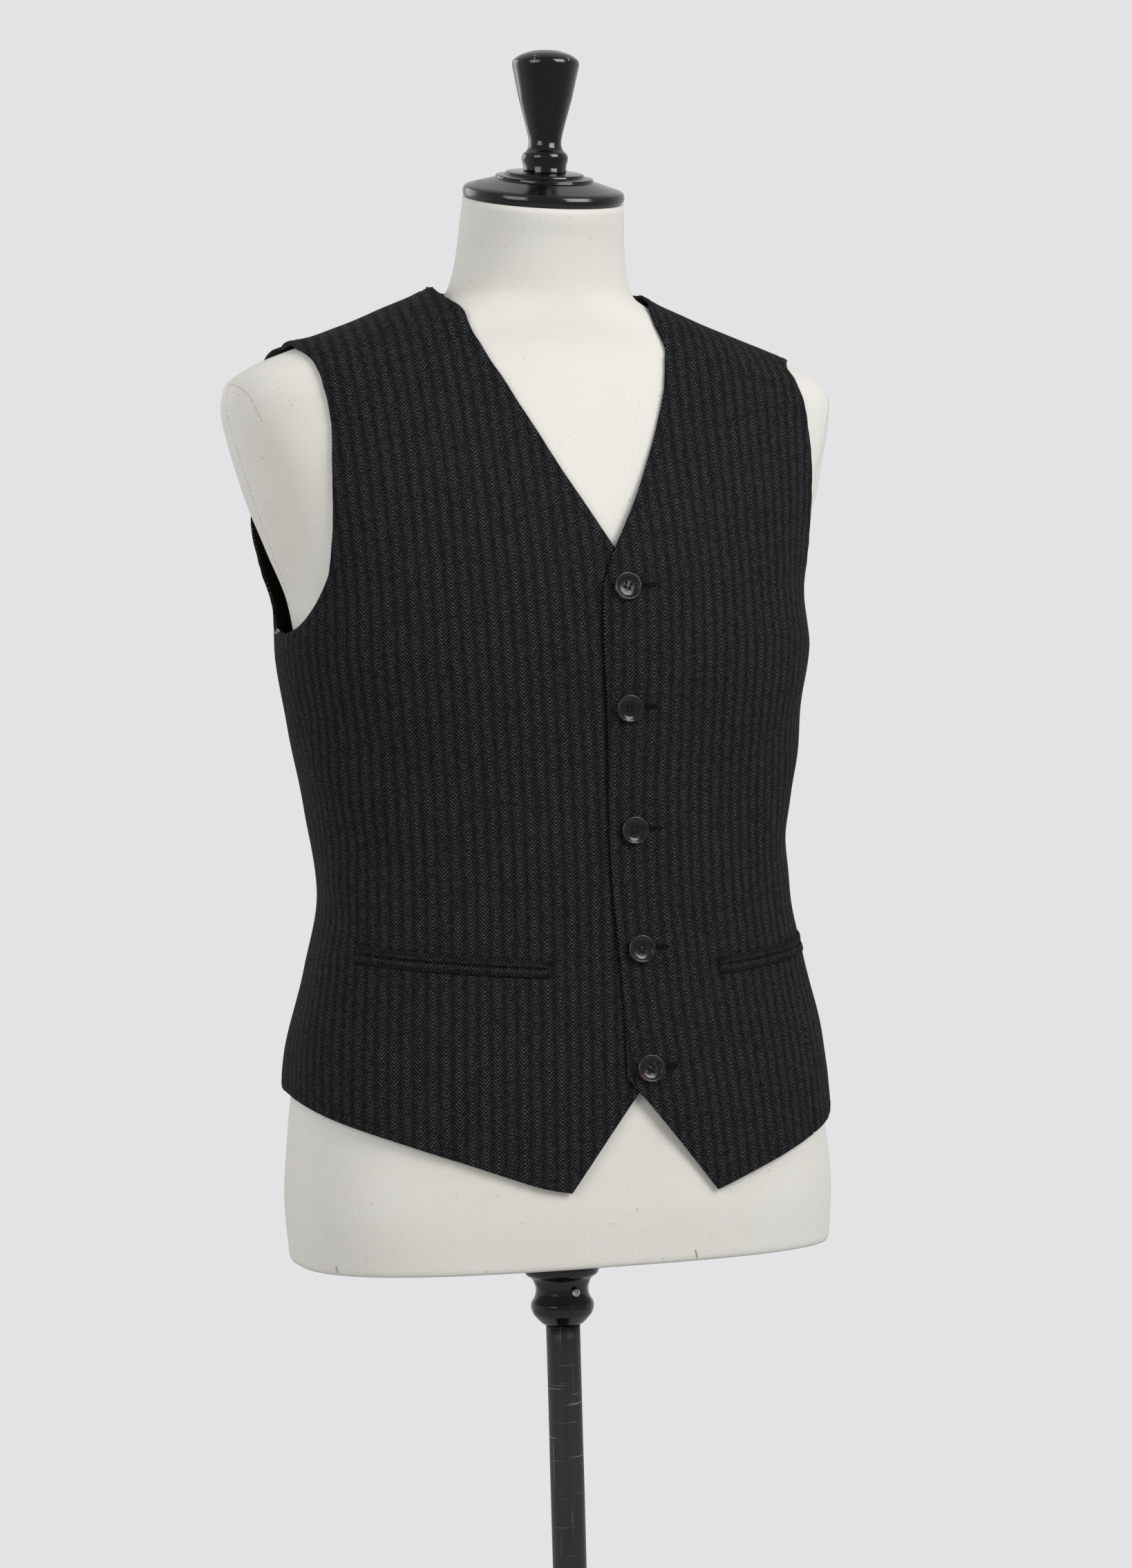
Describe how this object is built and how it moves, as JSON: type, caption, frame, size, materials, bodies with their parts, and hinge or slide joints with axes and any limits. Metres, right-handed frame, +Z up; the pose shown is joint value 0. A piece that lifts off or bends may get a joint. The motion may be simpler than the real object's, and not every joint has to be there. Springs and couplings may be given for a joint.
{
  "type": "suit waistcoat on a dress form stand",
  "caption": "Single-breasted herringbone wool waistcoat with a deep V-neck, horn buttons, jetted pockets and a pointed hem, worn by a limbless linen dress form on a turned black stand.",
  "frame": {"origin": "centre of the base's underside", "axes": "+Z up, the front of the garment faces -Y, +X is the wearer's left"},
  "size_m": [0.465, 0.384, 1.679],
  "materials": {
    "wool": "matte herringbone",
    "jet_wool": "matte herringbone",
    "horn": "polished horn",
    "linen": "matte",
    "black_lacquer": "gloss lacquer on turned wood",
    "black_paint": "worn semi-gloss paint",
    "steel": "polished"
  },
  "bodies": {
    "root": {"front_right": "wool", "front_left": "wool", "back": "wool", "pocket_right_jet_upper": "jet_wool", "pocket_right_jet_lower": "jet_wool", "pocket_left_jet_upper": "jet_wool", "pocket_left_jet_lower": "jet_wool", "button_1": "horn", "button_2": "horn", "button_3": "horn", "button_4": "horn", "button_5": "horn", "form_torso": "linen", "neck_cap": "black_lacquer", "finial": "black_lacquer", "collar": "black_lacquer", "pole": "black_paint", "base": "black_paint", "collar_screw": "steel"}
  },
  "joints": []
}
